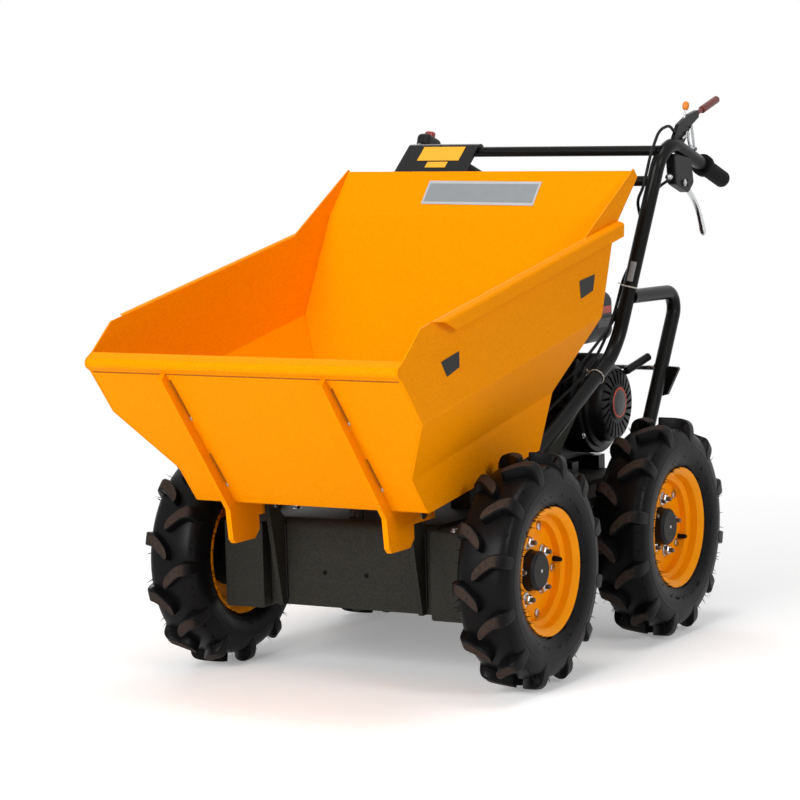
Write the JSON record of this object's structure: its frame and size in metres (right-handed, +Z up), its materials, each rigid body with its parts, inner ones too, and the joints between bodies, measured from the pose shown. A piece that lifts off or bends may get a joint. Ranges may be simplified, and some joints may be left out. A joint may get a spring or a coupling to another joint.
{
  "type": "walk-behind site dumper",
  "caption": "Walk-behind site dumper: folded steel skip that tips forward over two pins, lugged wheels on chain-case beams, engine and handlebars behind.",
  "frame": {"origin": "middle of the machine's footprint, on the ground the wheels stand on", "axes": "+Z up, -Y towards the dumping end, +X to the operator's left"},
  "size_m": [0.74, 1.3979, 1.0168],
  "materials": {
    "skip_paint": "orange powder coat on folded sheet steel",
    "rim_paint": "orange enamel on pressed steel",
    "frame_paint": "dark grey powder coat on welded steel",
    "black_paint": "semi-gloss black enamel on steel tube",
    "engine_black": "black engine enamel",
    "engine_alloy": "as-cast aluminium",
    "tyre_rubber": "black agricultural tyre rubber, dusty",
    "grip_rubber": "moulded black rubber",
    "black_plastic": "moulded black plastic",
    "red_plastic": "dark red moulded plastic",
    "bright_steel": "zinc plated or polished steel"
  },
  "bodies": {
    "chassis": {"air_filter": "black_plastic", "bearing_housings": "frame_paint", "belt_cover": "frame_paint", "carburettor": "engine_alloy", "chassis_deck": "frame_paint", "console": "black_paint", "control_bracket": "black_paint", "control_cables": "black_plastic", "cross_tubes": "black_paint", "drive_lever": "red_plastic", "engine_bars": "frame_paint", "engine_block": "engine_alloy", "fan_shroud": "engine_black", "front_cross_plate": "frame_paint", "fuel_cap": "black_plastic", "fuel_tank": "engine_black", "gearbox": "frame_paint", "guard_rod": "bright_steel", "hand_grips": "grip_rubber", "hand_levers": "bright_steel", "handle_brackets": "black_paint", "hinge_brackets": "frame_paint", "left_chain_case": "frame_paint", "left_guard": "frame_paint", "left_handle": "black_paint", "lever_housings": "black_plastic", "muffler": "bright_steel", "recoil_cover": "black_plastic", "recoil_grip": "black_plastic", "right_chain_case": "frame_paint", "right_guard": "frame_paint", "right_handle": "black_paint", "skip_rests": "black_plastic", "stop_body": "black_plastic", "stop_knob": "red_plastic", "throttle_lever": "bright_steel"},
    "skip": {"hinge_pins": "bright_steel", "skip_back": "skip_paint", "skip_front_floor": "skip_paint", "skip_left_side": "skip_paint", "skip_ribs": "skip_paint", "skip_right_side": "skip_paint"},
    "front_left_wheel": {"front_left_hub": "black_paint", "front_left_rim": "rim_paint", "front_left_tyre": "tyre_rubber"},
    "front_right_wheel": {"front_right_hub": "black_paint", "front_right_rim": "rim_paint", "front_right_tyre": "tyre_rubber"},
    "rear_left_wheel": {"rear_left_hub": "black_paint", "rear_left_rim": "rim_paint", "rear_left_tyre": "tyre_rubber"},
    "rear_right_wheel": {"rear_right_hub": "black_paint", "rear_right_rim": "rim_paint", "rear_right_tyre": "tyre_rubber"}
  },
  "joints": [
    {"name": "skip_tip", "type": "hinge", "parent": "chassis", "child": "skip", "pos_m": [0, -0.36555, 0.318], "axis": [1, 0, 0], "range_deg": [0, 60]},
    {"name": "front_left_spin", "type": "hinge", "parent": "chassis", "child": "front_left_wheel", "pos_m": [0.317, -0.26055, 0.208], "axis": [1, 0, 0], "continuous": true},
    {"name": "front_right_spin", "type": "hinge", "parent": "chassis", "child": "front_right_wheel", "pos_m": [-0.317, -0.26055, 0.208], "axis": [1, 0, 0], "continuous": true},
    {"name": "rear_left_spin", "type": "hinge", "parent": "chassis", "child": "rear_left_wheel", "pos_m": [0.317, 0.27945, 0.208], "axis": [1, 0, 0], "continuous": true},
    {"name": "rear_right_spin", "type": "hinge", "parent": "chassis", "child": "rear_right_wheel", "pos_m": [-0.317, 0.27945, 0.208], "axis": [1, 0, 0], "continuous": true}
  ]
}
